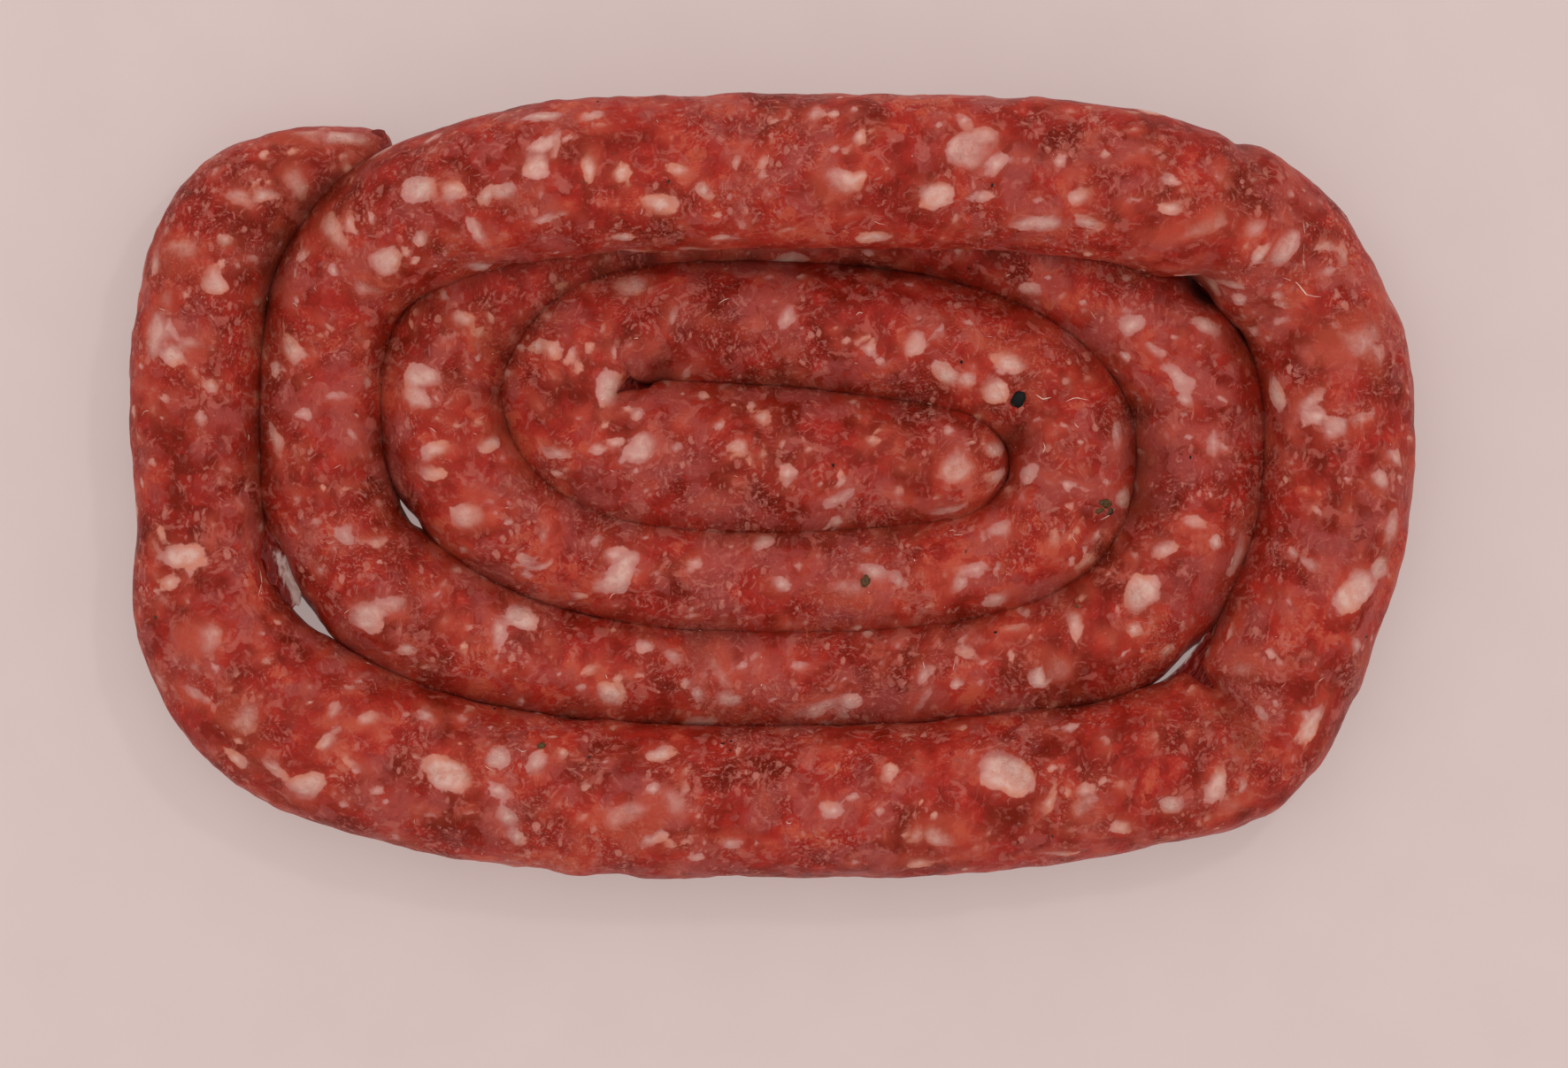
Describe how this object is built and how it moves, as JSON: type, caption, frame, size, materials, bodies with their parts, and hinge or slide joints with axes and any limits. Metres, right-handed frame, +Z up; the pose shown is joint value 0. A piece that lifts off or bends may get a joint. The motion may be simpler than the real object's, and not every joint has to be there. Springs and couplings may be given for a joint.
{
  "type": "coiled raw sausage",
  "caption": "Fresh coarse-ground sausage in one unlinked length, coiled flat in a rounded rectangle, with its outer turn riding up over the next along the back.",
  "frame": {"origin": "on the floor under the middle of the coil's bounding box", "axes": "+X along the coil's length to the right, +Y across it towards the raised stretch at the back, +Z up"},
  "size_m": [0.2148, 0.131, 0.0366],
  "materials": {
    "ground_meat": "moist red coarse-ground meat with pale fat pieces, seen through a thin skin with a soft gloss"
  },
  "bodies": {
    "root": {"sausage_coil": "ground_meat"}
  },
  "joints": []
}
